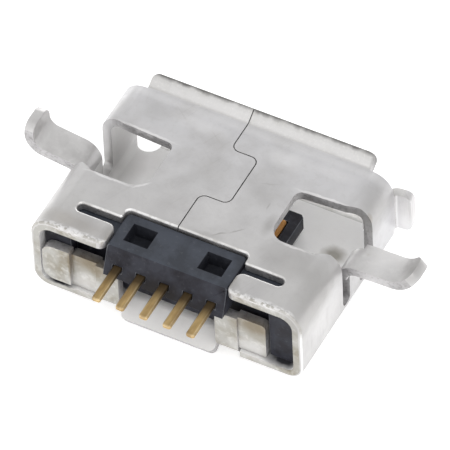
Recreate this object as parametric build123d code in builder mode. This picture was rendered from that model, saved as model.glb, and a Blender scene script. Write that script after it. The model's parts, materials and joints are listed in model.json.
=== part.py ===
from build123d import *
import os

# Micro USB socket for a board cut-out, lying on the flat back of its shell with
# the seam side up. X runs across the socket, Y towards its mouth and Z up.
# The origin is the middle of the shell's flat back.

# Shell: one piece of tin-plated sheet, folded round and closed at a seam on top
sheet = 0.25
square_bend = 90
shell_width = 7.5
shell_height = 2.4
shell_length = 5.0
back_corner_radius = 0.45
shoulder_radius = 0.60
rear_rollover = 0.07

# Seam: a square tab of the left edge reaches into the right edge
seam_gap = 0.03
seam_place = -0.30
seam_tab_reach = 0.78
seam_tab_length = 1.62
seam_tab_from_rear = 2.50
seam_tab_radius = 0.20

# Rear notch in the seam face, with a slot to each side
notch_width = 3.38
notch_depth = 1.30
notch_corner_radius = 0.14
slot_width = 0.27
slot_length = 1.16
slot_from_rear = 0.85
strip_corner_radius = 0.20

# Windows that the two wings leave in the seam face and the side walls
window_from_rear = 2.00
window_length = 1.71
window_slant = 0.08
window_left_inner = 1.62
window_right_inner = 1.80
window_front_radius = 0.20
window_rear_radius = 0.45

# The windows run on into openings of the walls
opening_from_rear = 2.20
left_opening_length = 1.57
right_opening_length = 1.64
opening_inner = 3.45
opening_flare = 0.35

# Wings: strips of the side walls, bent outwards and curled up at the tip
wing_width = 0.86
wing_from_rear = 2.40
wing_rear_notch = 0.18
left_front_notch = 0.0
right_front_notch = 0.15
wing_notch_reach = 0.15
wing_root_height = 0.45
wing_bend_height = 1.30
wing_bend_radius = 0.30
wing_tip_radius = 0.30
wall_slot_radius = 0.15
left_wing_rise = 8
left_wing_run = 0.71
left_curl_radius = 0.30
left_curl_angle = 80
left_tip_run = 0.37
right_wing_rise = 2
right_wing_run = 0.91
right_curl_radius = 0.45
right_curl_angle = 43
right_tip_run = 0.34

# Lips at the mouth, flared outwards; the left wall ends plainly
lip_corner_radius = 0.20
lip_angle = 35
lip_bend_radius = 0.20
lip_run = 0.32
seam_lip_width = 6.20
back_lip_width = 5.70
side_lip_low = 0.50
side_lip_high = 1.72
side_lip_angle = 85
side_lip_bend_radius = 0.08
side_lip_run = 0.35
lip_relief_width = 0.64
lip_relief_depth = 0.27

# Rear closure: a sloping tab of the back, and a flap bent up on each side of it
back_tab_width = 2.60
back_tab_angle = 28
back_tab_bend_from_rear = 0.55
back_tab_bend_radius = 0.10
back_tab_run = 0.56
back_tab_radius = 0.15
flap_relief = 0.04
flap_neck_width = 0.62
flap_bend_radius = 0.10
flap_top = 1.45
ear_width = 0.75
ear_step = 0.08
ear_gap = 0.05
ear_radius = 0.12
outer_ear_width = 0.72
outer_ear_step = 0.05
outer_ear_low = 0.40
outer_ear_top = 1.60
outer_ear_radius = 0.32

# Contacts: five flat strips with straight tails to the rear
contact_count = 5
contact_pitch = 0.65
contact_width = 0.23
contact_thickness = 0.13
contact_bend_radius = 0.25
tail_top = 1.80
tail_reach = 1.19
tail_end_radius = 0.06
contact_step_start = 0.75
contact_step_end = 1.50
contact_reach = 3.76
contact_nose_radius = 0.09
contact_proud = 0.05

# Housing: black moulding that carries the contacts and closes the rear
fit = 0.03
contact_fit = 0.02
housing_front = 1.65
block_top_drop = 0.10
block_top_start = 0.15
block_rear_reach = 0.17
block_edge_radius = 0.06
pocket_width = 0.66
pocket_length = 0.58
pocket_depth = 0.45
pocket_spacing = 2.05
pocket_from_rear = 0.71
ear_recess_depth = 0.30
centre_recess_depth = 0.36
tongue_width = 3.40
tongue_thickness = 0.42
tongue_top = 0.88
tongue_front = 4.13
tongue_chamfer = 0.08

# How far a bent strip reaches back into the sheet that it grows from
root_overlap = 0.05

# How near a corner or an edge lies to the place that it is chosen by
near = 0.01

os.makedirs("parts", exist_ok=True)

rear = -shell_length / 2
front = shell_length / 2
side = shell_width / 2
wall_top = shell_height - shoulder_radius
window_rear = rear + window_from_rear
window_front = window_rear + window_length
opening_rear = rear + opening_from_rear
wing_rear = rear + wing_from_rear
wing_front = wing_rear + wing_width
far = 3 * shell_width
neck_inner = back_tab_width / 2 + flap_relief
neck_outer = neck_inner + flap_neck_width
ear_outer = neck_outer + ear_width
flap_bend_length = sheet + flap_bend_radius
housing_rear = rear - outer_ear_step + sheet + fit


def across(y):
    """Plane facing the rear at a given Y, with X to the right and Z up."""
    return Plane(origin=(0, y, 0), x_dir=(1, 0, 0), z_dir=(0, -1, 0))


def beside(x):
    """Plane facing right at a given X, with Y to the right and Z up."""
    return Plane(origin=(x, 0, 0), x_dir=(0, 1, 0), z_dir=(1, 0, 0))


def shell_outline(inset):
    """Outer outline of the shell's section, brought in by an inset."""
    with BuildSketch() as outline:
        Rectangle(shell_width, shell_height, align=(Align.CENTER, Align.MIN))
        fillet(outline.vertices().group_by(Axis.Y)[0], back_corner_radius)
        fillet(outline.vertices().group_by(Axis.Y)[-1], shoulder_radius)
        if inset > 0:
            offset(amount=-inset, mode=Mode.REPLACE)
    return outline.sketch


def bent_strip(start, heading, runs):
    """Edge-on face of a strip: straight runs, with bends of (radius, angle) between."""
    with BuildLine() as path:
        point = start
        direction = heading
        for index, run in enumerate(runs):
            if index % 2 == 0:
                end = (point[0] + run * direction[0], point[1] + run * direction[1])
                step = Line(point, end)
            else:
                step = JernArc(start=point, tangent=direction, radius=run[0], arc_size=run[1])
            point = tuple(step @ 1)[:2]
            direction = tuple(step % 1)[:2]
    with BuildSketch() as face:
        trace(path.edges(), line_width=sheet)
    return face.sketch


def bent_piece(plane, start, heading, runs, width, tip_radius):
    """Strip of the sheet of a given width, bent to its runs, with a rounded tip."""
    with BuildPart() as piece:
        with BuildSketch(plane):
            add(bent_strip(start, heading, runs))
        extrude(amount=width)
        root = plane.from_local_coords((start[0], start[1], width / 2))
        tip = piece.faces().filter_by(plane, reverse=True).sort_by_distance(root)[-1]
        corners = tip.edges().filter_by(lambda edge: edge.length < sheet + near)
        fillet(corners, tip_radius)
    return piece.part


def wing(sign, rise, run, curl_radius, curl_angle, tip_run):
    """Wing of one wall: it leaves the wall outwards and curls up at the tip."""
    runs = (
        root_overlap,
        (wing_bend_radius + sheet / 2, -sign * (square_bend - rise)),
        run,
        (curl_radius + sheet / 2, sign * curl_angle),
        tip_run,
    )
    root = (sign * (side - sheet / 2), wing_bend_height - root_overlap)
    return bent_piece(across(wing_front), root, (0, 1), runs, wing_width, wing_tip_radius)


def lip(plane, start, heading, bend_radius, angle, run, width):
    """Lip at the mouth, flared outwards by an angle."""
    runs = (root_overlap, (bend_radius + sheet / 2, angle), run)
    return bent_piece(plane, start, heading, runs, width, lip_corner_radius)


def window(sign, inner, opening_length):
    """Window seen from above: it runs on into the opening of the wall beside it."""
    flare_start = sign * (opening_inner - opening_flare)
    flare_end = sign * opening_inner
    inner_rear = (sign * inner, window_rear)
    inner_front = (sign * inner, window_front - window_slant)
    with BuildSketch() as opening:
        with BuildLine():
            Polyline(
                inner_rear,
                (flare_start, window_rear),
                (flare_end, opening_rear),
                (sign * far, opening_rear),
                (sign * far, opening_rear + opening_length),
                (flare_end, opening_rear + opening_length),
                (flare_start, window_front),
                inner_front,
                close=True,
            )
        make_face()
        fillet(opening.vertices().sort_by_distance(inner_front)[0], window_front_radius)
        fillet(opening.vertices().sort_by_distance(inner_rear)[0], window_rear_radius)
    return opening.sketch


def wall_slots(opening_length, front_notch):
    """The two round-ended slots in a wall, behind and in front of a wing's root."""
    neck_rear = wing_rear + wing_rear_notch
    neck_front = wing_front - front_notch
    with BuildSketch() as slots:
        with Locations((opening_rear, wing_root_height)):
            rear_height = wing_bend_height - wing_root_height
            Rectangle(neck_rear - opening_rear, rear_height, align=Align.MIN)
        with Locations((neck_front, wing_root_height)):
            front_length = opening_rear + opening_length - neck_front
            Rectangle(front_length, shell_height, align=Align.MIN)
        fillet(slots.vertices().group_by(Axis.Y)[0], wall_slot_radius)
    return slots.sketch


def flap(sign):
    """Flap bent up from the back, with an ear stepped in towards the housing."""
    centre_radius = flap_bend_radius + sheet / 2
    start = (rear + flap_bend_length + root_overlap, sheet / 2)
    runs = (root_overlap, (centre_radius, -square_bend), flap_top - flap_bend_length)
    middle = sign * (neck_inner + neck_outer) / 2
    with BuildPart() as piece:
        with BuildSketch(beside(middle - flap_neck_width / 2)):
            add(bent_strip(start, (-1, 0), runs))
        extrude(amount=flap_neck_width)
        with BuildSketch(across(rear + ear_step + sheet)) as ear:
            ear_reach = ear_width + root_overlap
            with Locations((sign * (ear_outer - ear_reach / 2), sheet + ear_gap)):
                ear_height = flap_top - sheet - ear_gap
                Rectangle(ear_reach, ear_height, align=(Align.CENTER, Align.MIN))
            top_corner = ear.vertices().sort_by_distance((sign * far, far))[0]
            fillet(top_corner, ear_radius)
        extrude(amount=sheet)
    return piece.part


def outer_ear():
    """End of the left flap, stepped back out over the housing's rear face."""
    with BuildPart() as piece:
        with BuildSketch(across(rear - outer_ear_step + sheet)) as outline:
            with Locations((-ear_outer + root_overlap, outer_ear_low)):
                height = outer_ear_top - outer_ear_low
                Rectangle(outer_ear_width + root_overlap, height, align=(Align.MAX, Align.MIN))
            fillet(outline.vertices().group_by(Axis.X)[0], outer_ear_radius)
        extrude(amount=sheet)
    return piece.part


lip_start = front - root_overlap
seam_lip = lip(
    beside(-seam_lip_width / 2),
    (lip_start, shell_height - sheet / 2),
    (1, 0),
    lip_bend_radius,
    lip_angle,
    lip_run,
    seam_lip_width,
)
back_lip = lip(
    beside(-back_lip_width / 2),
    (lip_start, sheet / 2),
    (1, 0),
    lip_bend_radius,
    -lip_angle,
    lip_run,
    back_lip_width,
)
side_lip = lip(
    Plane.XY.offset(side_lip_low),
    (side - sheet / 2, lip_start),
    (0, 1),
    side_lip_bend_radius,
    -side_lip_angle,
    side_lip_run,
    side_lip_high - side_lip_low,
)
back_tab = bent_piece(
    beside(-back_tab_width / 2),
    (rear + back_tab_bend_from_rear + root_overlap, sheet / 2),
    (-1, 0),
    (root_overlap, (back_tab_bend_radius + sheet / 2, back_tab_angle), back_tab_run),
    back_tab_width,
    back_tab_radius,
)
right_wing = wing(
    1, right_wing_rise, right_wing_run, right_curl_radius, right_curl_angle, right_tip_run
)
left_wing = wing(
    -1, left_wing_rise, left_wing_run, left_curl_radius, left_curl_angle, left_tip_run
)

with BuildPart() as shell:
    with BuildSketch(across(front)):
        add(shell_outline(0))
        add(shell_outline(sheet), mode=Mode.SUBTRACT)
    extrude(amount=shell_length)
    add([seam_lip, back_lip, side_lip])

    # Round-ended reliefs at the two ends of the back lip
    relief_centre = (back_lip_width + lip_relief_width) / 2
    relief_place = front - lip_relief_depth + lip_relief_width / 2
    with BuildSketch():
        with Locations((relief_centre, relief_place), (-relief_centre, relief_place)):
            Circle(lip_relief_width / 2)
            Rectangle(lip_relief_width, far, align=(Align.CENTER, Align.MIN))
    extrude(amount=side_lip_low, mode=Mode.SUBTRACT)

    # Windows: cut down through the seam face and the rounded shoulders
    with BuildSketch(Plane.XY.offset(wing_bend_height)):
        add(window(1, window_right_inner, right_opening_length))
        add(window(-1, window_left_inner, left_opening_length))
    extrude(amount=shell_height, mode=Mode.SUBTRACT)
    add([right_wing, left_wing])

    # Slots in the walls beside each wing's root; the right front one notches its bend
    slot_reach = side - opening_inner + wing_notch_reach
    with BuildSketch(beside(opening_inner)):
        add(wall_slots(right_opening_length, right_front_notch))
    extrude(amount=slot_reach, mode=Mode.SUBTRACT)
    with BuildSketch(beside(-opening_inner - slot_reach)):
        add(wall_slots(left_opening_length, left_front_notch))
    extrude(amount=slot_reach, mode=Mode.SUBTRACT)

    # Rear notch with its side slots
    with BuildSketch(Plane.XY.offset(wall_top)) as notch:
        with Locations((0, rear)):
            Rectangle(notch_width, 2 * notch_depth)
            fillet(notch.vertices().group_by(Axis.Y)[-1], notch_corner_radius)
        with Locations((0, rear + slot_from_rear)):
            SlotOverall(notch_width + 2 * slot_length, slot_width)
        strip_corners = notch.vertices().filter_by_position(
            Axis.Y, rear + slot_from_rear - slot_width, rear + slot_from_rear
        )
        fillet(strip_corners.sort_by(Axis.X)[1:-1], strip_corner_radius)
    extrude(amount=shell_height, mode=Mode.SUBTRACT)

    # Seam, from the lip back to the notch
    seam_tab_rear = rear + seam_tab_from_rear
    seam_tab_front = seam_tab_rear + seam_tab_length
    with BuildLine(Plane.XY.offset(wall_top)) as seam:
        FilletPolyline(
            (seam_place, front + 2 * (lip_bend_radius + lip_run)),
            (seam_place, seam_tab_front),
            (seam_place + seam_tab_reach, seam_tab_front),
            (seam_place + seam_tab_reach, seam_tab_rear),
            (seam_place, seam_tab_rear),
            (seam_place, rear + notch_depth / 2),
            radius=seam_tab_radius,
        )
    with BuildSketch(Plane.XY.offset(wall_top)):
        trace(seam.edges(), line_width=seam_gap)
    extrude(amount=shell_height, mode=Mode.SUBTRACT)

    # Strips behind the side slots have rounded corners, and their punched edge is rolled over
    strip_ends = shell.edges().filter_by(Axis.Z).filter_by_position(Axis.Y, rear - near, rear + near)
    strip_ends = strip_ends.filter_by_position(Axis.X, -notch_width, notch_width)
    fillet(strip_ends.filter_by_position(Axis.Z, wall_top, shell_height), strip_corner_radius)
    strip_edges = shell.edges().filter_by(Axis.X).filter_by_position(Axis.Y, rear - near, rear + near)
    fillet(strip_edges.group_by(Axis.Z)[-1], rear_rollover)

    # Front edge of the rear notch: rolled over in the same way
    notch_front = rear + notch_depth
    notch_edges = shell.edges().filter_by(Axis.X)
    notch_edges = notch_edges.filter_by_position(Axis.Y, notch_front - near, notch_front + near)
    fillet(notch_edges.group_by(Axis.Z)[-1], rear_rollover)

    # Back at the rear: cut away for the two flaps and the tab between them
    with BuildSketch():
        with Locations((0, rear)):
            Rectangle(2 * (neck_outer + flap_relief), 2 * flap_bend_length)
            Rectangle(2 * neck_inner, 2 * back_tab_bend_from_rear)
    extrude(amount=sheet, mode=Mode.SUBTRACT)
    add(back_tab)

    # Flaps: a neck bent up from the back, and an ear that reaches outwards
    add([flap(1), flap(-1), outer_ear()])

shell.part.label = "shell"
export_step(shell.part, "parts/shell.step")

tail_centre = tail_top - contact_thickness / 2
inner_centre = tongue_top + contact_proud - contact_thickness / 2
block_half = notch_width / 2 - fit
block_front = rear + notch_depth - fit
block_top = shell_height - block_top_drop
block_low = flap_top + fit
contact_places = [
    (index - (contact_count - 1) / 2) * contact_pitch for index in range(contact_count)
]


def contact_side(clearance):
    """Edge-on face of a contact: tail, step down and blade on the tongue."""
    with BuildLine() as path:
        FilletPolyline(
            (rear - tail_reach - clearance, tail_centre),
            (rear + contact_step_start, tail_centre),
            (rear + contact_step_end, inner_centre),
            (rear + contact_reach + clearance, inner_centre),
            radius=contact_bend_radius,
        )
    with BuildSketch() as face:
        trace(path.edges(), line_width=contact_thickness + 2 * clearance)
    return face.sketch


with BuildPart() as housing:
    # Body: fills the shell behind the mouth
    with BuildSketch(across(rear + housing_front)):
        add(shell_outline(sheet + fit))
    extrude(amount=rear + housing_front - housing_rear)

    # Block: rises through the shell's notch and leans out over the tails
    with BuildSketch(beside(-block_half)):
        with BuildLine():
            Polyline(
                (block_front, block_top),
                (rear + block_top_start, block_top),
                (rear - block_rear_reach, block_low),
                (block_front, block_low),
                close=True,
            )
        make_face()
    extrude(amount=2 * block_half)
    block_corners = housing.edges().filter_by(Axis.Z).filter_by_position(
        Axis.Y, block_front - near, block_front + near
    )
    fillet(block_corners.group_by(Axis.Z)[-1], notch_corner_radius)
    block_edges = housing.edges().filter_by_position(Axis.Z, block_top - near, block_top + near)
    fillet(block_edges, block_edge_radius)

    # Tongue
    with BuildSketch(Plane.XY.offset(tongue_top - tongue_thickness)) as tongue:
        with Locations((0, rear + housing_front - fit)):
            tongue_length = tongue_front - housing_front + fit
            Rectangle(tongue_width, tongue_length, align=(Align.CENTER, Align.MIN))
        chamfer(tongue.vertices().group_by(Axis.Y)[-1], tongue_chamfer)
    extrude(amount=tongue_thickness)

    # Rear recesses: one behind the flaps' ears, a deeper one under the tails
    with BuildSketch(across(housing_rear + ear_recess_depth)):
        recess_half = ear_outer + fit
        Rectangle(2 * recess_half, block_low, align=(Align.CENTER, Align.MIN))
        beside_block = recess_half - block_half
        for sign in (1, -1):
            with Locations((sign * (recess_half - beside_block / 2), 0)):
                Rectangle(beside_block, shell_height, align=(Align.CENTER, Align.MIN))
    extrude(amount=shell_length, mode=Mode.SUBTRACT)
    with BuildSketch(across(housing_rear + centre_recess_depth)):
        Rectangle(back_tab_width, block_low, align=(Align.CENTER, Align.MIN))
    extrude(amount=shell_length, mode=Mode.SUBTRACT)

    # Two square pockets in the top of the block
    with BuildSketch(Plane.XY.offset(block_top)):
        with Locations((0, rear + pocket_from_rear)):
            with GridLocations(pocket_spacing, 0, 2, 1):
                Rectangle(pocket_width, pocket_length)
    extrude(amount=-pocket_depth, mode=Mode.SUBTRACT)

    # Channels for the contacts
    for place in contact_places:
        with BuildSketch(beside(place - contact_width / 2 - contact_fit)):
            add(contact_side(contact_fit))
        extrude(amount=contact_width + 2 * contact_fit, mode=Mode.SUBTRACT)

housing.part.label = "housing"
export_step(housing.part, "parts/housing.step")

for index, place in enumerate(contact_places):
    with BuildPart() as contact:
        with BuildSketch(beside(place - contact_width / 2)):
            add(contact_side(0))
        extrude(amount=contact_width)
        ends = contact.edges().filter_by(Axis.Z).group_by(Axis.Y)
        fillet(ends[0], tail_end_radius)
        fillet(contact.edges().filter_by(Axis.Z).group_by(Axis.Y)[-1], contact_nose_radius)
    name = f"contact_{index + 1}"
    contact.part.label = name
    export_step(contact.part, f"parts/{name}.step")
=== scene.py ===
import json
import math

import bpy
from mathutils import Matrix, Vector

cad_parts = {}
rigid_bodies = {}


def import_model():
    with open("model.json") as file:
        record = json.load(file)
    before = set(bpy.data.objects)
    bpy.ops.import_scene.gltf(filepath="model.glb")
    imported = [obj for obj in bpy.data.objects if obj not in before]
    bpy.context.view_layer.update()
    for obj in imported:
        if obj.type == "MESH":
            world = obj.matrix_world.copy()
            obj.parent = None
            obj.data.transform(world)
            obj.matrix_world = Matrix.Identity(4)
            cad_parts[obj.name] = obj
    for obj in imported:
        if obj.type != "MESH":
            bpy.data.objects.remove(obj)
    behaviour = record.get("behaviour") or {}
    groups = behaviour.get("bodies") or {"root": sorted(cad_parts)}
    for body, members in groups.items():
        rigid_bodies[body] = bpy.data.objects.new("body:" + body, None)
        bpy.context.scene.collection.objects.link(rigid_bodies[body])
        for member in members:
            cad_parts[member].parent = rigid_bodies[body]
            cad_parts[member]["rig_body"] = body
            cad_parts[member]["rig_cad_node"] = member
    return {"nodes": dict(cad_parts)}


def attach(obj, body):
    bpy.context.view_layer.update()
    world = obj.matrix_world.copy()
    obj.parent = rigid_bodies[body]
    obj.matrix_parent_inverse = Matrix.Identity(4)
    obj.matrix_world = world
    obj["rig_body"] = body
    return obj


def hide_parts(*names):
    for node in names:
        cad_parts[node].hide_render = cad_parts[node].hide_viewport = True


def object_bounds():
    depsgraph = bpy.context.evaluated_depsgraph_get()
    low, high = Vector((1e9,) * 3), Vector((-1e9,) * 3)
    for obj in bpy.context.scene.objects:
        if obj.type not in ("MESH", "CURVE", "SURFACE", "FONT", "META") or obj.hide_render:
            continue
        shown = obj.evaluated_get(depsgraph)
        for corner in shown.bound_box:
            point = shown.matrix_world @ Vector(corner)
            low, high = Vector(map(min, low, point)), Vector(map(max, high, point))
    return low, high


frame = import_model()
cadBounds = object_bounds()
mm = 0.001


# Photo camera: worked out from the sizes of the socket itself

cameraSet = {
    "place": (70.489, -122.563, 166.886),  # mm, in the socket's own frame
    "azimuth": 29.7827,  # degrees, from behind and right
    "elevation": 49.5002,
    "roll": 2.9179,
    "lens": 705.57,  # mm
    "sensor": 36,
    "nearest": 10,
    "farthest": 10000,
}


def makeCamera():
    azimuth = math.radians(cameraSet["azimuth"])
    elevation = math.radians(cameraSet["elevation"])
    back = Vector((
        math.sin(azimuth) * math.cos(elevation),
        -math.cos(azimuth) * math.cos(elevation),
        math.sin(elevation),
    ))
    right = Vector((math.cos(azimuth), math.sin(azimuth), 0))
    upward = back.cross(right)
    turn = Matrix((right, upward, back)).transposed().to_4x4()
    roll = Matrix.Rotation(-math.radians(cameraSet["roll"]), 4, "Z")
    place = Matrix.Translation(Vector(cameraSet["place"]) * mm)
    data = bpy.data.cameras.new("photoCamera")
    data.lens = cameraSet["lens"]
    data.sensor_width = cameraSet["sensor"]
    data.clip_start = cameraSet["nearest"] * mm
    data.clip_end = cameraSet["farthest"] * mm
    camera = bpy.data.objects.new("photoCamera", data)
    bpy.context.scene.collection.objects.link(camera)
    camera.matrix_world = place @ turn @ roll
    bpy.context.scene.camera = camera
    print("camera placed")


# Small helpers for node materials

spotCore = 0.3  # share of its reach that a spot fills whole


def newMaterial(name):
    material = bpy.data.materials.new(name)
    material.use_nodes = True
    tree = material.node_tree
    tree.nodes.clear()
    output = tree.nodes.new("ShaderNodeOutputMaterial")
    surface = tree.nodes.new("ShaderNodeBsdfPrincipled")
    tree.links.new(surface.outputs["BSDF"], output.inputs["Surface"])
    coordinates = tree.nodes.new("ShaderNodeTexCoord")
    return material, tree, surface, coordinates.outputs["Object"]


def noiseNode(tree, vector, perMillimetre, detail, roughness=0.5, stretch=(1, 1, 1)):
    # Soft mottle with so many patches to the millimetre
    mapping = tree.nodes.new("ShaderNodeMapping")
    scale = perMillimetre / mm
    mapping.inputs["Scale"].default_value = [scale * part for part in stretch]
    tree.links.new(vector, mapping.inputs["Vector"])
    noise = tree.nodes.new("ShaderNodeTexNoise")
    noise.inputs["Scale"].default_value = 1.0
    noise.inputs["Detail"].default_value = detail
    noise.inputs["Roughness"].default_value = roughness
    tree.links.new(mapping.outputs["Vector"], noise.inputs["Vector"])
    return noise


def noiseOf(tree, vector, perMillimetre, **shape):
    return noiseNode(tree, vector, perMillimetre, **shape).outputs["Fac"]


def rampOf(tree, value, low, high, toLow, toHigh):
    ramp = tree.nodes.new("ShaderNodeMapRange")
    ramp.inputs["From Min"].default_value = low
    ramp.inputs["From Max"].default_value = high
    ramp.inputs["To Min"].default_value = toLow
    ramp.inputs["To Max"].default_value = toHigh
    tree.links.new(value, ramp.inputs["Value"])
    return ramp.outputs["Result"]


def mixColours(tree, factor, first, second):
    # Each colour is a tuple or comes from another node
    mix = tree.nodes.new("ShaderNodeMix")
    mix.data_type = "RGBA"
    for socket, value in (("A", first), ("B", second)):
        target = [entry for entry in mix.inputs if entry.name == socket and entry.type == "RGBA"][0]
        if isinstance(value, tuple):
            target.default_value = (*value, 1)
        else:
            tree.links.new(value, target)
    tree.links.new(factor, mix.inputs["Factor"])
    return [entry for entry in mix.outputs if entry.type == "RGBA"][0]


def bumpOf(tree, height, strength, distance, under=None):
    bump = tree.nodes.new("ShaderNodeBump")
    bump.inputs["Strength"].default_value = strength
    bump.inputs["Distance"].default_value = distance * mm
    tree.links.new(height, bump.inputs["Height"])
    if under is not None:
        tree.links.new(under, bump.inputs["Normal"])
    return bump.outputs["Normal"]


def mathOf(tree, operation, first, second):
    # Sum, product or larger one of two values, the second of which may be a plain number
    node = tree.nodes.new("ShaderNodeMath")
    node.operation = operation
    tree.links.new(first, node.inputs[0])
    if isinstance(second, (int, float)):
        node.inputs[1].default_value = second
    else:
        tree.links.new(second, node.inputs[1])
    return node.outputs[0]


def axisOf(tree, vector, axis):
    split = tree.nodes.new("ShaderNodeSeparateXYZ")
    tree.links.new(vector, split.inputs[0])
    return split.outputs[axis]


def wobbleOf(tree, vector, perMillimetre, reach):
    # Shifts a place a little to and fro, so that a spot gets an uneven rim
    noise = noiseNode(tree, vector, perMillimetre, detail=2.0)
    shift = tree.nodes.new("ShaderNodeVectorMath")
    shift.operation = "MULTIPLY_ADD"
    tree.links.new(noise.outputs["Color"], shift.inputs[0])
    shift.inputs[1].default_value = [reach * mm] * 3
    tree.links.new(vector, shift.inputs[2])
    centred = tree.nodes.new("ShaderNodeVectorMath")
    centred.operation = "SUBTRACT"
    tree.links.new(shift.outputs[0], centred.inputs[0])
    centred.inputs[1].default_value = [reach * mm / 2] * 3
    return centred.outputs[0]


def spotOf(tree, vector, place, size, turn, amount):
    # Soft spot, drawn out by its size and turned about Z: full in its middle, none at its rim
    mapping = tree.nodes.new("ShaderNodeMapping")
    mapping.vector_type = "TEXTURE"
    mapping.inputs["Location"].default_value = [part * mm for part in place]
    mapping.inputs["Rotation"].default_value = (0, 0, math.radians(turn))
    mapping.inputs["Scale"].default_value = [part * mm for part in size]
    tree.links.new(vector, mapping.inputs["Vector"])
    reach = tree.nodes.new("ShaderNodeVectorMath")
    reach.operation = "LENGTH"
    tree.links.new(mapping.outputs["Vector"], reach.inputs[0])
    return rampOf(tree, reach.outputs["Value"], spotCore, 1.0, amount, 0)


hairlineSet = {
    "turns": (24, -52),  # degrees
    "stretch": (22, 0.9, 1),
    "lineRange": (0.62, 0.72),
    "patchPerMm": 0.8,
    "patchRange": (0.48, 0.62),
}


def hairlinesOf(tree, vector, turn):
    # Sparse fine scratches in one direction
    turned = tree.nodes.new("ShaderNodeMapping")
    turned.inputs["Rotation"].default_value = (0, 0, math.radians(turn))
    tree.links.new(vector, turned.inputs["Vector"])
    lines = noiseOf(tree, turned.outputs["Vector"], 1.0, detail=1, stretch=hairlineSet["stretch"])
    patches = noiseOf(tree, vector, hairlineSet["patchPerMm"], detail=2)
    scratched = rampOf(tree, lines, *hairlineSet["lineRange"], 0, 1)
    patched = rampOf(tree, patches, *hairlineSet["patchRange"], 0, 1)
    return mathOf(tree, "MULTIPLY", scratched, patched)


# Folded section of the shell and the parts bent from its sheet, in mm, as the solids have them

sectionSet = {
    "halfWidth": 3.75,
    "height": 2.4,
    "backRadius": 0.45,
    "shoulderRadius": 0.60,
    "sheet": 0.25,
    "rear": -2.5,
    "front": 2.5,
}
bentSet = {
    "flapTop": 1.65,  # flaps, ear and back tab at the rear
    "flapReach": 0.70,
    "tabHalf": 1.32,
    "neckOuter": 2.02,
    "rollReach": 0.42,  # rolled edge of the rear strips
    "wingLow": 1.28,
    "wingRear": -0.12,
    "wingFront": 0.78,
    "wingBend": 0.35,
    "underWing": 0.18,
    "sideCut": 3.30,  # from here outwards a window's cut lies in a wall
}


# Tin-plated sheet: one finish for each kind of surface that the folding leaves

finishSet = {
    "platedFace": {  # the one that turns lighter towards the mouth, a painted sheen, and shows hairlines
        "tone": (0.625, 0.615, 0.605),
        "frontSheenTone": (0.70, 0.695, 0.71),
        "cloud": (0.585, 0.575, 0.575),
        "speck": (0.49, 0.48, 0.465),
        "speckAmount": 0.16,
        "cloudPerMm": 0.8,
        "speckPerMm": 7.0,
        "metallic": 0.72,
        "rough": (0.34, 0.50),
        "bump": 0.10,
        "hairlines": 0.25,
    },
    # Painted light: the faces inside the shell are near white and barely metal, standing in for the
    # light that reaches in there
    "paintedLightInside": {
        "tone": (0.95, 0.945, 0.94),
        "cloud": (0.91, 0.90, 0.895),
        "speck": (0.80, 0.79, 0.78),
        "speckAmount": 0.12,
        "cloudPerMm": 0.9,
        "speckPerMm": 8.0,
        "metallic": 0.08,
        "rough": (0.45, 0.60),
        "bump": 0.08,
    },
    "punchedCut": {
        "tone": (0.56, 0.55, 0.555),
        "cloud": (0.44, 0.43, 0.435),
        "speck": (0.26, 0.25, 0.24),
        "speckAmount": 0.5,
        "cloudPerMm": 3.0,
        "speckPerMm": 12.0,
        "metallic": 0.8,
        "rough": (0.40, 0.60),
        "bump": 0.25,
    },
    # Darker and browner than the face: heat stain, along with painted shade under the block
    "rearClosure": {
        "tone": (0.50, 0.49, 0.46),
        "cloud": (0.36, 0.33, 0.27),
        "speck": (0.74, 0.73, 0.70),
        "speckAmount": 0.45,
        "cloudPerMm": 1.6,
        "speckPerMm": 6.0,
        "metallic": 0.6,
        "rough": (0.40, 0.56),
        "bump": 0.15,
    },
    "flaredLip": {
        "tone": (0.60, 0.59, 0.58),
        "cloud": (0.54, 0.53, 0.51),
        "speck": (0.76, 0.75, 0.72),
        "speckAmount": 0.40,
        "cloudPerMm": 2.2,
        "speckPerMm": 15.0,
        "metallic": 0.6,
        "rough": (0.36, 0.52),
        "bump": 0.30,
    },
    "bentWing": {
        "tone": (0.66, 0.65, 0.645),
        "cloud": (0.57, 0.56, 0.555),
        "speck": (0.76, 0.75, 0.745),
        "speckAmount": 0.30,
        "cloudPerMm": 1.6,
        "speckPerMm": 6.0,
        "metallic": 0.72,
        "rough": (0.34, 0.50),
        "bump": 0.20,
    },
    # Tan mottle with bright specks: grain, brightened into painted glints along the roll
    "rolledStrip": {
        "tone": (0.56, 0.545, 0.515),
        "cloud": (0.42, 0.40, 0.36),
        "speck": (0.90, 0.89, 0.87),
        "speckAmount": 0.55,
        "cloudPerMm": 1.8,
        "speckPerMm": 9.0,
        "metallic": 0.72,
        "rough": (0.32, 0.50),
        "bump": 0.22,
    },
    # Rounded edges: rubbed bright, and lighter still as a painted highlight
    "wornGlintEdge": {
        "tone": (0.90, 0.89, 0.885),
        "cloud": (0.66, 0.65, 0.635),
        "speck": (0.46, 0.44, 0.41),
        "speckAmount": 0.45,
        "cloudPerMm": 1.8,
        "speckPerMm": 5.0,
        "metallic": 0.8,
        "rough": (0.28, 0.42),
        "bump": 0.15,
    },
}
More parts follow.
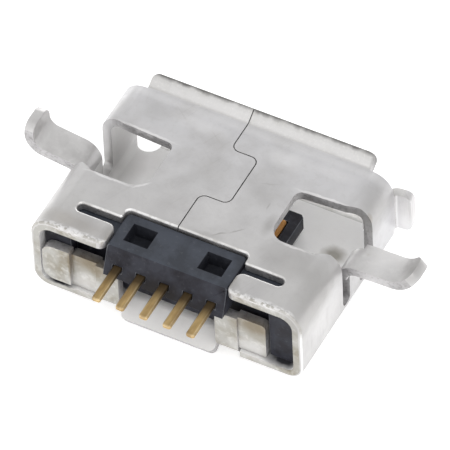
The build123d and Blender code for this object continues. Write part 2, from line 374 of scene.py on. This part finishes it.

# Marks on the sheet, real ones and painted light and shade, in mm: a colour, a place, a reach along
# the three axes, a turn and an amount
# Smear colour, also used for painted shade
smearAndShadeColour = (0.42, 0.41, 0.40)
shadeColour = (0.16, 0.155, 0.15)
# Painted shade, in a corner inside the right window
cornerShadeColour = (0.33, 0.31, 0.27)
# Painted shade, in the gaps under the ears
gapShadeColour = (0.035, 0.035, 0.042)
# Stain colour, also used for painted shade at the rear closure
stainAndShadeColour = (0.22, 0.17, 0.10)
# Painted highlight; on the window rims it stands for rubbing as well
paintedHighlightColour = (0.90, 0.89, 0.89)
markSet = [
    # scratches and smears of the top, with painted highlights, most of them along the front below the
    # lip's bend
    (smearAndShadeColour, (0.73, -0.945, 2.4), (0.24, 0.035, 0.3), 35, 0.8),
    (smearAndShadeColour, (1.07, -0.665, 2.4), (0.25, 0.030, 0.3), 44, 0.7),
    (smearAndShadeColour, (0.45, -1.10, 2.4), (0.60, 0.11, 0.3), 8, 0.35),
    (smearAndShadeColour, (1.38, 0.37, 2.4), (0.14, 0.035, 0.3), 85, 0.6),
    (smearAndShadeColour, (1.10, 1.02, 2.4), (0.28, 0.030, 0.3), 20, 0.35),
    (smearAndShadeColour, (-2.48, 1.98, 2.4), (0.70, 0.40, 0.4), 0, 0.28),
    (smearAndShadeColour, (-0.30, 0.67, 2.4), (0.65, 0.65, 0.4), 0, 0.28),
    (smearAndShadeColour, (1.16, 0.72, 2.4), (0.70, 0.70, 0.4), 0, 0.28),
    (smearAndShadeColour, (1.68, -0.16, 2.4), (0.20, 0.45, 0.3), 0, 0.55),
    (smearAndShadeColour, (2.80, -0.97, 2.4), (1.10, 0.70, 0.4), 0, 0.50),
    (paintedHighlightColour, (-1.35, 1.98, 2.4), (0.95, 0.34, 0.3), -5, 0.30),
    (paintedHighlightColour, (1.10, 1.92, 2.4), (0.85, 0.36, 0.3), 0, 0.36),
    (paintedHighlightColour, (2.35, 2.02, 2.4), (0.80, 0.24, 0.3), 0, 0.24),
    (paintedHighlightColour, (0.30, -0.30, 2.4), (0.70, 0.60, 0.3), 0, 0.18),
    # edges of the windows: bright lines, rubbed as well as painted highlight
    (paintedHighlightColour, (-2.60, -0.53, 2.4), (0.80, 0.055, 0.2), 0, 0.9),
    (paintedHighlightColour, (-1.73, -0.39, 2.4), (0.30, 0.055, 0.2), 45, 0.9),
    (paintedHighlightColour, (-2.40, 1.21, 2.4), (0.95, 0.055, 0.2), -3, 0.9),
    (paintedHighlightColour, (2.50, 1.21, 2.4), (0.90, 0.055, 0.2), 3, 0.9),
    (paintedHighlightColour, (2.60, -0.53, 2.4), (0.60, 0.055, 0.2), 0, 0.6),
    # shoulders and right wall: painted shade on the right shoulder, a small stain, and painted
    # highlights on the left shoulder, the right wall and the side lip
    (smearAndShadeColour, (3.60, -1.50, 2.05), (0.60, 1.80, 0.6), 0, 0.65),
    (smearAndShadeColour, (3.68, 1.72, 2.05), (0.75, 1.20, 0.8), 0, 0.60),
    (stainAndShadeColour, (3.74, 1.37, 2.1), (0.16, 0.12, 0.2), 0, 0.35),
    (paintedHighlightColour, (-3.55, -1.20, 2.2), (0.40, 1.30, 0.5), 0, 0.42),
    (paintedHighlightColour, (-3.50, 1.95, 2.2), (0.40, 0.75, 0.5), 0, 0.30),
    (paintedHighlightColour, (3.78, -1.30, 1.0), (0.16, 1.70, 0.9), 0, 0.40),
    (paintedHighlightColour, (3.95, 2.80, 0.9), (0.70, 0.50, 1.3), 0, 0.70),
    # wings: a stain and a painted highlight by the right wing's root, darker at its tip
    (stainAndShadeColour, (4.10, 0.45, 1.7), (0.09, 0.09, 0.2), 0, 0.6),
    (smearAndShadeColour, (5.42, 0.33, 2.1), (0.26, 0.80, 0.5), 0, 0.60),
    (paintedHighlightColour, (4.50, 0.33, 1.7), (0.70, 0.80, 0.5), 0, 0.60),
    # lip: painted highlights along its bend and across its middle, painted shade along its end and at
    # its right side
    (paintedHighlightColour, (0.00, 2.37, 2.4), (12.0, 0.18, 0.3), 0, 0.32),
    (shadeColour, (0.00, 2.89, 2.6), (12.0, 0.10, 1.0), 0, 0.95),
    (paintedHighlightColour, (0.00, 2.66, 2.45), (12.0, 0.22, 0.5), 0, 0.45),
    (shadeColour, (3.12, 2.76, 2.5), (0.13, 0.26, 0.5), 0, 0.55),
    # inside the windows: painted shade in the left one and in a corner of the right one
    (smearAndShadeColour, (-3.45, 1.10, 0.6), (0.75, 1.60, 1.4), 0, 0.72),
    (cornerShadeColour, (2.68, 1.28, 0.25), (0.40, 0.34, 0.3), 0, 0.9),
    # rear strips: darker at the inner ends, with a tan stain; the painted highlights along their bend
    # are the broken lines below
    (smearAndShadeColour, (-1.74, -2.08, 2.4), (0.22, 0.40, 0.3), 0, 0.7),
    (smearAndShadeColour, (1.74, -2.25, 2.4), (0.22, 0.36, 0.3), 0, 0.7),
    (stainAndShadeColour, (-2.70, -2.18, 2.38), (1.20, 0.34, 0.4), 0, 0.22),
    # rear closure: brown in the crease by the left ear and along the flaps' tops under the block,
    # heat stain as well as painted shade; painted light below; painted shade in the gaps under the
    # ears
    (stainAndShadeColour, (-2.66, -2.55, 1.05), (0.08, 0.30, 0.62), 0, 0.60),
    (stainAndShadeColour, (-2.14, -2.50, 1.34), (0.90, 0.45, 0.52), 0, 0.75),
    (stainAndShadeColour, (2.43, -2.50, 1.30), (0.80, 0.45, 0.50), 0, 0.75),
    (paintedHighlightColour, (-2.19, -2.50, 0.50), (0.65, 0.40, 0.50), 0, 0.50),
    (paintedHighlightColour, (2.35, -2.50, 0.45), (0.75, 0.40, 0.45), 0, 0.45),
    (gapShadeColour, (-3.00, -2.48, 0.26), (0.46, 0.34, 0.09), 0, 1.0),
    (gapShadeColour, (3.10, -2.28, 0.26), (0.66, 0.30, 0.14), 0, 1.0),
]
# Broken painted highlights along the bend, where the rear strips are bent over
brokenHighlightSet = [
    (paintedHighlightColour, (-2.55, -2.43, 2.36), (1.50, 0.10, 0.2), 0, 1.0),
    (paintedHighlightColour, (2.60, -2.43, 2.36), (1.60, 0.10, 0.2), 0, 1.0),
]


# What all the finishes of the sheet share
coatSet = {
    "cloudRange": (0.44, 0.66),
    "speckRange": (0.52, 0.68),
    "breakRange": (0.40, 0.54),
    "rimPerMm": 4.0,  # uneven rims of the marks
    "rimReach": 0.12,
    "roughPerMm": 2.2,
    "roughRange": (0.35, 0.65),
    "grainPerMm": 14.0,
    "grainHeight": 0.01,
    "dentPerMm": 1.1,
    "dentStrength": 0.12,
    "dentHeight": 0.05,
}


def sheetFinish(name):
    finish = finishSet[name]
    material, tree, surface, place = newMaterial(name)
    ends = (sectionSet["rear"] * mm, sectionSet["front"] * mm)
    forward = rampOf(tree, axisOf(tree, place, "Y"), *ends, 0, 1)
    # Painted sheen: the face grows lighter towards the mouth
    frontSheenTone = finish.get("frontSheenTone", finish["tone"])
    colour = mixColours(tree, forward, finish["tone"], frontSheenTone)
    cloud = noiseOf(tree, place, finish["cloudPerMm"], detail=5, roughness=0.55)
    clouds = rampOf(tree, cloud, *coatSet["cloudRange"], 0, 1)
    colour = mixColours(tree, clouds, colour, finish["cloud"])
    speck = noiseOf(tree, place, finish["speckPerMm"], detail=2, roughness=0.6)
    specks = rampOf(tree, speck, *coatSet["speckRange"], 0, finish["speckAmount"])
    colour = mixColours(tree, specks, colour, finish["speck"])
    uneven = wobbleOf(tree, place, coatSet["rimPerMm"], coatSet["rimReach"])
    for tone, *mark in markSet:
        colour = mixColours(tree, spotOf(tree, uneven, *mark), colour, tone)
    breaks = rampOf(tree, speck, *coatSet["breakRange"], 0, 1)
    for tone, *mark in brokenHighlightSet:
        broken = mathOf(tree, "MULTIPLY", spotOf(tree, uneven, *mark), breaks)
        colour = mixColours(tree, broken, colour, tone)
    grain = noiseOf(tree, place, coatSet["grainPerMm"], detail=2)
    normal = bumpOf(tree, grain, finish["bump"], coatSet["grainHeight"])
    if "hairlines" in finish:
        for turn in hairlineSet["turns"]:
            lines = rampOf(tree, hairlinesOf(tree, place, turn), 0, 1, 0, finish["hairlines"])
            colour = mixColours(tree, lines, colour, finish["speck"])
        dents = noiseOf(tree, place, coatSet["dentPerMm"], detail=2)
        normal = bumpOf(tree, dents, coatSet["dentStrength"], coatSet["dentHeight"], normal)
    tree.links.new(colour, surface.inputs["Base Color"])
    rough = noiseOf(tree, place, coatSet["roughPerMm"], detail=4)
    rough = rampOf(tree, rough, *coatSet["roughRange"], *finish["rough"])
    tree.links.new(rough, surface.inputs["Roughness"])
    tree.links.new(normal, surface.inputs["Normal"])
    surface.inputs["Metallic"].default_value = finish["metallic"]
    return material


# Black moulding: a paler top and a darker, browner rear and sides, painted light and shade on one
# plastic; darker pockets, painted shade; and worn edges, lighter as a painted highlight

mouldingSet = {
    "litMouldedTop": {
        "dark": (0.026, 0.031, 0.043),
        "light": (0.050, 0.058, 0.077),
        "rough": 0.52,
        "shine": 0.5,
    },
    "shadedMouldedSide": {
        "dark": (0.016, 0.015, 0.021),
        "light": (0.043, 0.045, 0.058),
        "rough": 0.50,
        "shine": 0.25,
    },
    "shadedPocketInside": {
        "dark": (0.012, 0.013, 0.018),
        "light": (0.024, 0.026, 0.034),
        "rough": 0.60,
        "shine": 0.2,
    },
    "wornGlintMoulding": {
        "dark": (0.050, 0.056, 0.070),
        "light": (0.170, 0.178, 0.195),
        "rough": 0.42,
        "shine": 0.5,
    },
}
# What all the finishes of the moulding share
compoundSet = {
    "mottlePerMm": 1.7,
    "mottleRange": (0.40, 0.62),
    "dustColour": (0.16, 0.165, 0.18),
    "dustPerMm": 9.0,
    "dustRange": (0.62, 0.76),
    "dustAmount": 0.18,
    "roughRange": (0.35, 0.65),
    "roughSpread": 0.15,
    "grainPerMm": 18.0,
    "grainStrength": 0.2,
    "grainHeight": 0.01,
}
# Painted shade below the block, dark brown, where the tails come out
underBlockShadeColour = (0.012, 0.008, 0.005)
underBlockShadeMark = ((-0.10, -2.45, 1.20), (1.70, 0.70, 0.80), 0, 0.90)
underBlockShadePerMm = 3.0
underBlockShadeReach = 0.4


def mouldedFinish(name):
    finish = mouldingSet[name]
    material, tree, surface, place = newMaterial(name)
    mottle = noiseOf(tree, place, compoundSet["mottlePerMm"], detail=4, roughness=0.6)
    mottled = rampOf(tree, mottle, *compoundSet["mottleRange"], 0, 1)
    colour = mixColours(tree, mottled, finish["dark"], finish["light"])
    dust = noiseOf(tree, place, compoundSet["dustPerMm"], detail=2)
    dust = rampOf(tree, dust, *compoundSet["dustRange"], 0, compoundSet["dustAmount"])
    colour = mixColours(tree, dust, colour, compoundSet["dustColour"])
    # Painted shade below the block
    underBlockShade = spotOf(tree, wobbleOf(tree, place, underBlockShadePerMm, underBlockShadeReach), *underBlockShadeMark)
    colour = mixColours(tree, underBlockShade, colour, underBlockShadeColour)
    tree.links.new(colour, surface.inputs["Base Color"])
    roughest = finish["rough"] + compoundSet["roughSpread"]
    rough = rampOf(tree, mottle, *compoundSet["roughRange"], finish["rough"], roughest)
    tree.links.new(rough, surface.inputs["Roughness"])
    surface.inputs["Specular IOR Level"].default_value = finish["shine"]
    grain = noiseOf(tree, place, compoundSet["grainPerMm"], detail=2)
    normal = bumpOf(tree, grain, compoundSet["grainStrength"], compoundSet["grainHeight"])
    tree.links.new(normal, surface.inputs["Normal"])
    return material


# Gold-coloured contacts: dark brown at the root of the tails, painted shade under the block along
# with some coating, and brown on the blades

contactSet = {
    "goldFlash": {"bright": (0.60, 0.43, 0.20), "brown": (0.40, 0.27, 0.12), "rough": 0.36},
    "rubbedGold": {"bright": (0.74, 0.57, 0.32), "brown": (0.42, 0.30, 0.16), "rough": 0.30},
}
# What both finishes of the contacts share
stripSet = {
    "rubPerMm": 2.5,
    "rubStretch": (2.5, 0.6, 1),
    "rubRange": (0.40, 0.64),
    "rootColour": (0.09, 0.060, 0.030),
    "rootEnds": (-3.20, -2.75),  # mm along Y, over which the tail turns dark brown: painted shade with some coating
    "rootAmount": 0.92,
    "bladeColour": (0.45, 0.22, 0.07),
    "bladeEnds": (-1.2, -0.8),
    "bladeAmount": 0.9,
    "metallic": 0.85,
    "roughRange": (0.35, 0.65),
    "roughSpread": 0.16,
    "linePerMm": 3.0,
    "lineStretch": (9, 0.5, 3),
    "lineStrength": 0.15,
    "lineHeight": 0.01,
}


def contactFinish(name):
    finish = contactSet[name]
    material, tree, surface, place = newMaterial(name)
    rub = noiseOf(tree, place, stripSet["rubPerMm"], detail=4, stretch=stripSet["rubStretch"])
    rubbed = rampOf(tree, rub, *stripSet["rubRange"], 0, 1)
    colour = mixColours(tree, rubbed, finish["bright"], finish["brown"])
    # Dark root: painted shade under the block, along with some coating
    for part in ("root", "blade"):
        ends = [end * mm for end in stripSet[part + "Ends"]]
        tinge = rampOf(tree, axisOf(tree, place, "Y"), *ends, 0, stripSet[part + "Amount"])
        colour = mixColours(tree, tinge, colour, stripSet[part + "Colour"])
    tree.links.new(colour, surface.inputs["Base Color"])
    surface.inputs["Metallic"].default_value = stripSet["metallic"]
    roughest = finish["rough"] + stripSet["roughSpread"]
    rough = rampOf(tree, rub, *stripSet["roughRange"], finish["rough"], roughest)
    tree.links.new(rough, surface.inputs["Roughness"])
    lines = noiseOf(tree, place, stripSet["linePerMm"], detail=2, stretch=stripSet["lineStretch"])
    normal = bumpOf(tree, lines, stripSet["lineStrength"], stripSet["lineHeight"])
    tree.links.new(normal, surface.inputs["Normal"])
    return material


# Which finish a face of the folded sheet gets, from its place and the way that it faces

spare = 0.02  # mm past a face, from where a place counts as beyond it
least = 0.01  # mm, the same for places inside the sheet
skin = 0.10  # mm, depth of the sheet's outer skin
# How far a face has to be turned one way, as a share of its normal
facingSet = {"turned": 0.7, "square": 0.9, "slant": 0.15, "straight": 0.97}


def sectionDepth(x, z):
    # Distance from the outline of the shell's section in mm, negative inside it
    upper = z > sectionSet["height"] / 2
    radius = sectionSet["shoulderRadius"] if upper else sectionSet["backRadius"]
    beside = abs(x) - (sectionSet["halfWidth"] - radius)
    above = abs(z - sectionSet["height"] / 2) - (sectionSet["height"] / 2 - radius)
    corner = math.hypot(max(beside, 0), max(above, 0))
    return corner + min(max(beside, above), 0) - radius


def sheetKind(centre, normal):
    x, y, z = centre / mm
    depth = sectionDepth(x, z)
    across = sectionDepth(x + least, z) - depth
    along = sectionDepth(x, z + least) - depth
    facing = abs(Vector((across, 0, along)).normalized().dot(normal))
    turned = facingSet["turned"]
    beside = abs(x) - sectionSet["halfWidth"]
    endCut = abs(normal.x) > turned
    lowFlap = z < bentSet["flapTop"] and y < sectionSet["rear"] + bentSet["flapReach"]
    wing = z > bentSet["wingLow"] and bentSet["wingRear"] < y < bentSet["wingFront"]
    if wing and beside > -skin:
        wingCut = abs(normal.y) > facingSet["square"] and beside > bentSet["wingBend"]
        return "punchedCut" if wingCut else "bentWing"
    if beside > spare or (wing and abs(x) > bentSet["sideCut"]):
        return "platedFace"
    if y > sectionSet["front"] + spare:
        return "punchedCut" if endCut or normal.y > turned else "flaredLip"
    if lowFlap and abs(x) < bentSet["tabHalf"] and z < sectionSet["sheet"] + spare:
        return "punchedCut" if endCut or normal.y < -turned else "paintedLightInside"
    if lowFlap and (depth < -sectionSet["sheet"] - least or abs(x) < bentSet["neckOuter"]):
        return "punchedCut" if endCut or normal.z > turned else "rearClosure"
    if y < sectionSet["rear"] + spare and normal.y < -facingSet["square"]:
        return "platedFace"
    if depth > -skin and facing > facingSet["slant"]:
        if y < sectionSet["rear"] + bentSet["rollReach"] and z > bentSet["flapTop"]:
            return "rolledStrip"
        if facing < facingSet["straight"] and abs(normal.y) > facingSet["slant"]:
            return "wornGlintEdge"
    if facing > turned:
        return "platedFace" if depth > -sectionSet["sheet"] / 2 else "paintedLightInside"
    underWing = y > bentSet["underWing"] and z < bentSet["wingLow"]
    if x < -bentSet["sideCut"] or (x > bentSet["sideCut"] and underWing):
        return "platedFace"
    return "punchedCut"


pocketSet = {
    "beside": 1.025,
    "along": -1.79,
    "halfWidth": 0.33,
    "halfLength": 0.29,
    "floor": 1.85,
    "blockTop": 1.9,  # above this a face that looks up is the block's top
}


def inPocket(place, past):
    # Whether a place is on the walls or floor of one of the block's two pockets
    x, y, z = place / mm
    across = abs(abs(x) - pocketSet["beside"]) < pocketSet["halfWidth"] + past
    along = abs(y - pocketSet["along"]) < pocketSet["halfLength"] + past
    return across and along and z > pocketSet["floor"] - past


def mouldingKind(centre, normal):
    if inPocket(centre, least):
        return "shadedPocketInside"
    onTop = normal.z > facingSet["turned"] and centre.z > pocketSet["blockTop"] * mm
    return "litMouldedTop" if onTop else "shadedMouldedSide"


def contactKind(centre, normal):
    # The strips are plated all over
    return "goldFlash"


# Pieces: copies of the solids with the punched and moulded edges softened

edgeSet = {
    "shell": {"widest": 0.075, "segments": 3, "angle": 32},
    "housing": {"widest": 0.060, "segments": 2, "angle": 32},
    "contact": {"widest": 0.040, "segments": 3, "angle": 32},
}
paleEdges = ("bentWing", "shadedPocketInside")  # no worn edges with a painted highlight on these faces
# Share of the widest rounding that the edges of a part of the socket get
shareSet = {
    "plain": 0.4,
    "window": 0.75,
    "wing": 0.85,
    "lip": 0.8,
    "ear": 0.75,
    "block": 1.0,
    "moulded": 0.5,
    "pocket": 0.18,
    "strip": 1.0,
}
# How far from the rear or front those parts reach, in mm
reachSet = {"lip": 0.05, "ear": 0.30, "window": 1.6, "outside": 0.03, "pocket": 0.03}
blockEdge = 2.2  # height above which an edge of the moulding is the block's own
# Mending and smoothing of the copies: mm and degrees
mendSet = {"merge": 0.0005, "dissolve": 1.0, "smooth": 40}


def edgeShare(kind, place):
    x, y, z = place / mm
    if kind == "contact":
        return shareSet["strip"]
    if kind == "housing":
        if inPocket(place, reachSet["pocket"]):
            return shareSet["pocket"]
        return shareSet["block"] if z > blockEdge else shareSet["moulded"]
    if abs(x) > sectionSet["halfWidth"] + skin:
        return shareSet["wing"]
    if y > sectionSet["front"] + reachSet["lip"]:
        return shareSet["lip"]
    depth = sectionDepth(x, z)
    closure = y < sectionSet["rear"] + reachSet["ear"] and z < bentSet["flapTop"]
    if closure and depth < -sectionSet["sheet"] - least:
        return shareSet["ear"]
    if y > sectionSet["rear"] + reachSet["window"] and depth > -reachSet["outside"]:
        return shareSet["window"]
    return shareSet["plain"]


def weighEdges(mesh, kind):
    # Gives each sharp edge the share that the bevel reads
    facing = {}
    for face in mesh.polygons:
        for key in face.edge_keys:
            facing.setdefault(key, []).append(face.normal)
    weights = mesh.attributes.new("bevel_weight_edge", "FLOAT", "EDGE")
    sharpest = math.cos(math.radians(edgeSet[kind]["angle"]))
    for edge in mesh.edges:
        sides = facing[edge.key]
        if len(sides) == 2 and sides[0].dot(sides[1]) < sharpest:
            first, second = (mesh.vertices[index].co for index in edge.vertices)
            weights.data[edge.index].value = edgeShare(kind, (first + second) / 2)


def deselectAll():
    for thing in bpy.context.scene.objects:
        thing.select_set(False)


def softenEdges(nodeName, pieceName, kind, materials, kindOf):
    node = frame["nodes"][nodeName]
    deselectAll()
    node.select_set(True)
    bpy.context.view_layer.objects.active = node
    bpy.ops.object.duplicate(linked=False)
    piece = bpy.context.view_layer.objects.active
    piece.name = pieceName
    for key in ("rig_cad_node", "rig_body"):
        if key in piece:
            del piece[key]
    bpy.ops.object.parent_clear(type="CLEAR_KEEP_TRANSFORM")
    bpy.ops.mesh.customdata_custom_splitnormals_clear()
    bpy.ops.object.mode_set(mode="EDIT")
    bpy.ops.mesh.select_all(action="SELECT")
    bpy.ops.mesh.remove_doubles(threshold=mendSet["merge"] * mm)
    bpy.ops.mesh.dissolve_limited(angle_limit=math.radians(mendSet["dissolve"]))
    bpy.ops.object.mode_set(mode="OBJECT")
    piece.data.materials.clear()
    names = list(materials)
    for name in names:
        piece.data.materials.append(materials[name])
    for face in piece.data.polygons:
        face.material_index = names.index(kindOf(face.center, face.normal))
    weighEdges(piece.data, kind)
    bevel = piece.modifiers.new("softEdge", "BEVEL")
    bevel.width = edgeSet[kind]["widest"] * mm
    bevel.segments = edgeSet[kind]["segments"]
    bevel.limit_method = "WEIGHT"
    bevel.use_clamp_overlap = True
    bevel.material = len(names) - 1  # the last finish is the worn edge, with a painted highlight on the sheet and the moulding
    bpy.ops.object.modifier_apply(modifier="softEdge")
    for face in piece.data.polygons:
        under = kindOf(face.center, face.normal)
        if face.material_index == len(names) - 1 and under in paleEdges:
            face.material_index = names.index(under)
    bpy.ops.object.shade_smooth_by_angle(angle=math.radians(mendSet["smooth"]))
    weighted = piece.modifiers.new("flatFaces", "WEIGHTED_NORMAL")
    weighted.keep_sharp = True
    bpy.ops.object.modifier_apply(modifier="flatFaces")
    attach(piece, "root")
    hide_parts(nodeName)
    print("made", pieceName, len(piece.data.polygons), "faces")


# Floor, lamps and world

studioSet = {
    "floorSize": 1200,  # mm
    "floorColour": (0.90, 0.90, 0.90),
    "floorLift": 0.50,
    "worldHeights": (-0.1, 0.8),
    "worldLow": 0.83,
    "worldHigh": 0.63,
    "worldDepths": (0.5, -0.6),
    "worldRear": 0.33,
    "aim": (0, 0, 1),  # mm, where the lamps point
}
# Places and sizes in mm, power in watts
lampSet = {
    "keyLamp": {"place": (60, -30, 120), "size": 90, "power": 0.030},
    "frontLamp": {"place": (-30, 110, 22), "size": 80, "power": 0.026},
}


def makeFloor(lowest):
    bpy.ops.mesh.primitive_plane_add(size=studioSet["floorSize"] * mm, location=(0, 0, lowest))
    floor = bpy.context.view_layer.objects.active
    floor.name = "floor"
    material = bpy.data.materials.new("floorPaper")
    material.use_nodes = True
    tree = material.node_tree
    tree.nodes.clear()
    output = tree.nodes.new("ShaderNodeOutputMaterial")
    paper = tree.nodes.new("ShaderNodeBsdfDiffuse")
    paper.inputs["Color"].default_value = (*studioSet["floorColour"], 1)
    glow = tree.nodes.new("ShaderNodeEmission")
    path = tree.nodes.new("ShaderNodeLightPath")
    seen = mathOf(tree, "MAXIMUM", path.outputs["Is Camera Ray"], path.outputs["Is Glossy Ray"])
    level = mathOf(tree, "MULTIPLY", seen, studioSet["floorLift"])
    tree.links.new(level, glow.inputs["Strength"])
    both = tree.nodes.new("ShaderNodeAddShader")
    tree.links.new(paper.outputs[0], both.inputs[0])
    tree.links.new(glow.outputs[0], both.inputs[1])
    tree.links.new(both.outputs[0], output.inputs["Surface"])
    floor.data.materials.append(material)


def makeWorld():
    # Soft light all round, stronger from behind the socket, and plain white for the camera
    world = bpy.data.worlds.new("studio")
    bpy.context.scene.world = world
    world.use_nodes = True
    tree = world.node_tree
    tree.nodes.clear()
    output = tree.nodes.new("ShaderNodeOutputWorld")
    background = tree.nodes.new("ShaderNodeBackground")
    direction = tree.nodes.new("ShaderNodeTexCoord").outputs["Generated"]
    low, high = studioSet["worldLow"], studioSet["worldHigh"]
    level = rampOf(tree, axisOf(tree, direction, "Z"), *studioSet["worldHeights"], low, high)
    depth = axisOf(tree, direction, "Y")
    behind = rampOf(tree, depth, *studioSet["worldDepths"], 0, studioSet["worldRear"])
    total = mathOf(tree, "ADD", level, behind)
    path = tree.nodes.new("ShaderNodeLightPath")
    shown = mathOf(tree, "MAXIMUM", total, path.outputs["Is Camera Ray"])
    background.inputs["Color"].default_value = (1, 1, 1, 1)
    tree.links.new(shown, background.inputs["Strength"])
    tree.links.new(background.outputs[0], output.inputs["Surface"])


def makeLamp(name):
    lampValues = lampSet[name]
    place = Vector(lampValues["place"]) * mm
    data = bpy.data.lights.new(name, "AREA")
    data.shape = "SQUARE"
    data.size = lampValues["size"] * mm
    data.energy = lampValues["power"]
    lamp = bpy.data.objects.new(name, data)
    bpy.context.scene.collection.objects.link(lamp)
    lamp.location = place
    lamp.rotation_mode = "QUATERNION"
    lamp.rotation_quaternion = (place - Vector(studioSet["aim"]) * mm).to_track_quat("Z", "Y")


makeCamera()
sheetFinishes = {name: sheetFinish(name) for name in finishSet}
mouldedFinishes = {name: mouldedFinish(name) for name in mouldingSet}
contactFinishes = {name: contactFinish(name) for name in contactSet}
print("finishes mixed")
softenEdges("shell", "foldedShell", "shell", sheetFinishes, sheetKind)
softenEdges("housing", "mouldedHousing", "housing", mouldedFinishes, mouldingKind)
for number in range(1, 6):
    softenEdges(f"contact_{number}", f"contactStrip{number}", "contact", contactFinishes, contactKind)
makeFloor(cadBounds[0].z)
makeWorld()
for name in lampSet:
    makeLamp(name)
print("studio ready")

bpy.context.scene.view_settings.view_transform = "Standard"
